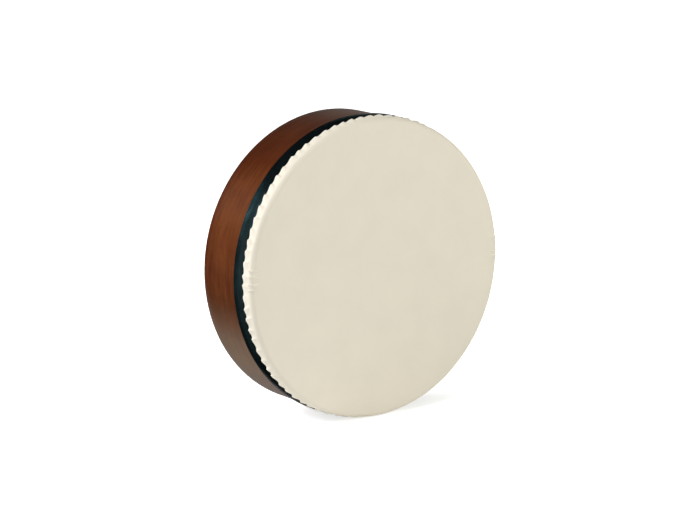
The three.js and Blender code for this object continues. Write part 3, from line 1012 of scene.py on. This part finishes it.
class BENDIR_OT_snares(Operator):
    """Stretches the snare strings across the drum against the head"""

    bl_idname = "bendir.snares"
    bl_label = "Build snare strings"
    bl_options = {"REGISTER", "UNDO"}

    def execute(self, context):
        snare, hoop = context.scene.bendir_snare, context.scene.bendir_hoop
        gut = twisted_gut(snare)
        radius = snare.string / 2
        for name in SNARES:
            level = STRING_LEVELS[name]
            bend = hoop.bearing_round - radius
            reach = STRING_BOXES[name][1].x - hoop.bearing_round
            shoulder = HOOP_DEPTH - hoop.bearing_round
            knot_height = HOOP_DEPTH - snare.knot_from_edge
            side = [(reach + bend, knot_height), (reach + bend, (knot_height + shoulder) / 2)]
            side += arc((reach, shoulder), bend, 0, math.pi / 2, BEARING_STEPS)
            route = side + [(x, HOOP_DEPTH - radius) for x in spread(reach, -reach, STRING_STEPS)]
            route += [(-x, height) for x, height in reversed(side)]
            strand = bmesh.new()
            strand.loops.layers.uv.new(UNROLLED)
            add_tube(strand, [Vector((x, REAR - height, level)) for x, height in route], radius, STRING_SIDES)
            for end in (reach + bend, -reach - bend):
                centre = Vector((end, REAR - knot_height, level))
                knot = knot_points(centre, snare.knot - snare.string)
                add_tube(strand, knot, radius * KNOT_DRAW, STRING_SIDES)
            bmesh.ops.recalc_face_normals(strand, faces=strand.faces)
            piece = new_object(name.replace("snare_string", "gut_string"), strand, STRING_CREASE)
            settle(piece, gut, "snare_string", name)
        return {"FINISHED"}


class BENDIR_OT_staples(Operator):
    """Gives the staples under the ribbon their zinc finish"""

    bl_idname = "bendir.staples"
    bl_label = "Finish staples"
    bl_options = {"REGISTER", "UNDO"}

    def execute(self, context):
        wire = galvanised_wire(context.scene.bendir_staple)
        for name in STAPLES:
            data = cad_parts[name].data
            data.materials.clear()
            data.materials.append(wire)
        return {"FINISHED"}


# Studio

WHITE = (1, 1, 1)
COOL = (1, 1.01, 1.09)
# Name, place, width, height, watts and tone of each lamp. All are aimed at the middle of the drum.
LAMPS = (
    ("Side box", (-2.16, 0.68, 1.83), 1.4, 1.4, 42.5, COOL),
    ("Low side box", (-2.45, 1.3, 0.57), 1.4, 1.0, 9, COOL),
    ("Rim box", (-1.17, 1.93, 1.06), 0.7, 0.7, 22, COOL),
    ("Front box", (1.28, -2.46, 0.57), 1.4, 1.0, 33, WHITE),
    ("Overhead box", (-0.9, -1.0, 2.58), 1.4, 1.4, 26, WHITE),
    ("High right box", (1.1, -0.86, 2.6), 1.4, 1.4, 11, WHITE),
)
# The world by direction: how high it is seen white, and where and how strongly it glows behind the drum
WHITE_UP_TO = (0.1, 0.14)
GLOW_UP_TO = (0.3, 0.45)
GLOW_BEHIND = (0.2, 0.6)
GLOW, DIM = 0.75, 0.05
SURROUND_TONE = (0.9, 1, 0.88)
FLOOR_HALF = 20
# Distances from the drum between which the floor's glow turns white
FLOOR_WHITENS = (0.35, 0.9)


def add_lamp(aim, name, place, width, height, power, tone):
    """A soft rectangular lamp that doesn't show itself to the camera."""
    data = bpy.data.lights.new(name, "AREA")
    data.shape, data.size, data.size_y = "RECTANGLE", width, height
    data.energy, data.color = power, tone
    lamp = bpy.data.objects.new(name, data)
    lamp.location = place
    lamp.rotation_mode = "QUATERNION"
    lamp.rotation_quaternion = (aim - Vector(place)).to_track_quat("-Z", "Y")
    lamp.visible_camera = False
    bpy.context.scene.collection.objects.link(lamp)


def seen_ray(tree):
    """1 for what the camera sees, also mirrored or through glass, and 0 for light that falls on the drum."""
    path = add_node(tree, "LightPath").outputs
    seen = reckon(tree, "MAXIMUM", path["Is Camera Ray"], path["Is Glossy Ray"])
    return reckon(tree, "MAXIMUM", seen, path["Is Transmission Ray"])


def studio_world():
    """A world that is seen white along the horizon, glows behind the drum and is dim elsewhere."""
    world = bpy.data.worlds.new("Studio")
    bpy.context.scene.world = world
    world.use_nodes = True
    tree = world.node_tree
    direction = axes(tree, add_node(tree, "TexCoord").outputs["Generated"])
    low = scale_range(tree, direction["Z"], GLOW_UP_TO, to=(GLOW, 0.0))
    behind = scale_range(tree, direction["Y"], GLOW_BEHIND, to=(0.0, 1.0))
    glow = reckon(tree, "MULTIPLY_ADD", low, behind, DIM)
    horizon = scale_range(tree, direction["Z"], WHITE_UP_TO, to=(1, 0))
    seen = reckon(tree, "MULTIPLY", seen_ray(tree), horizon)
    feed(
        tree.nodes["Background"],
        Color=mix_colour(tree, seen, SURROUND_TONE, WHITE),
        Strength=reckon(tree, "MAXIMUM", glow, seen),
    )


def white_floor(studio):
    """Pale paint that looks white outside the drum's shadow."""
    material, tree, shader = new_material("floor_paint", Roughness=0.9, Specular_IOR_Level=0.1)
    shader.inputs["Base Color"].default_value = (*studio.floor, 1)
    away = reckon_vector(tree, "LENGTH", object_position(tree), output="Value")
    far = scale_range(tree, away, FLOOR_WHITENS, to=(0, 1))
    glow = mix_colour(tree, far, studio.floor_glow, WHITE)
    feed(shader, Emission_Color=glow, Emission_Strength=seen_ray(tree))
    return material


class BENDIR_OT_studio(Operator):
    """Sets the camera, the floor, the lamps and the white surround"""

    bl_idname = "bendir.studio"
    bl_label = "Set studio"
    bl_options = {"REGISTER", "UNDO"}

    def execute(self, context):
        studio = context.scene.bendir_studio
        middle = Vector((0, 0, AXIS_HEIGHT))
        lean = math.cos(studio.elevation)
        back = Vector((
            math.sin(studio.azimuth) * lean, -math.cos(studio.azimuth) * lean, math.sin(studio.elevation)
        ))
        data = bpy.data.cameras.new("Camera")
        data.lens = studio.focal_pixels / IMAGE_WIDTH * data.sensor_width
        data.shift_x, data.shift_y = -studio.right / IMAGE_WIDTH, -studio.up / IMAGE_WIDTH
        camera = bpy.data.objects.new("Camera", data)
        camera.location = middle + back * studio.distance
        camera.rotation_mode = "QUATERNION"
        camera.rotation_quaternion = (-back).to_track_quat("-Z", "Y")
        context.scene.collection.objects.link(camera)
        context.scene.camera = camera
        context.scene.view_settings.view_transform = "Standard"

        ground = bmesh.new()
        bmesh.ops.create_grid(ground, x_segments=1, y_segments=1, size=FLOOR_HALF)
        floor = new_object("floor", ground)
        floor.data.materials.append(white_floor(studio))

        studio_world()
        for lamp in LAMPS:
            add_lamp(middle, *lamp)
        return {"FINISHED"}


class BENDIR_PT_sidebar(Panel):
    """Sizes and colours of the drum, with a button for each piece"""

    bl_label = "Bendir"
    bl_idname = "BENDIR_PT_sidebar"
    bl_space_type = "VIEW_3D"
    bl_region_type = "UI"
    bl_category = "Bendir"

    def draw(self, context):
        for operator, settings, _ in STEPS:
            box = self.layout.box()
            box.operator(operator.bl_idname)
            group = getattr(context.scene, settings)
            for name in group.__annotations__:
                box.prop(group, name)


# Each step with its settings: the name they have on the scene, and their kind
STEPS = (
    (BENDIR_OT_studio, "bendir_studio", StudioSettings),
    (BENDIR_OT_hoop, "bendir_hoop", HoopSettings),
    (BENDIR_OT_head, "bendir_head", HeadSettings),
    (BENDIR_OT_ribbon, "bendir_ribbon", RibbonSettings),
    (BENDIR_OT_snares, "bendir_snare", SnareSettings),
    (BENDIR_OT_staples, "bendir_staple", StapleSettings),
)


def register():
    """Adds the classes and hangs the settings on the scene."""
    for operator, name, settings in STEPS:
        bpy.utils.register_class(settings)
        setattr(bpy.types.Scene, name, PointerProperty(type=settings))
        bpy.utils.register_class(operator)
    bpy.utils.register_class(BENDIR_PT_sidebar)


def unregister():
    """Takes the settings and the classes away again."""
    bpy.utils.unregister_class(BENDIR_PT_sidebar)
    for operator, name, settings in reversed(STEPS):
        bpy.utils.unregister_class(operator)
        delattr(bpy.types.Scene, name)
        bpy.utils.unregister_class(settings)


def main():
    """Builds every piece in order."""
    register()
    bpy.ops.bendir.studio()
    bpy.ops.bendir.hoop()
    bpy.ops.bendir.head()
    bpy.ops.bendir.ribbon()
    bpy.ops.bendir.snares()
    bpy.ops.bendir.staples()


if __name__ == "__main__":
    main()
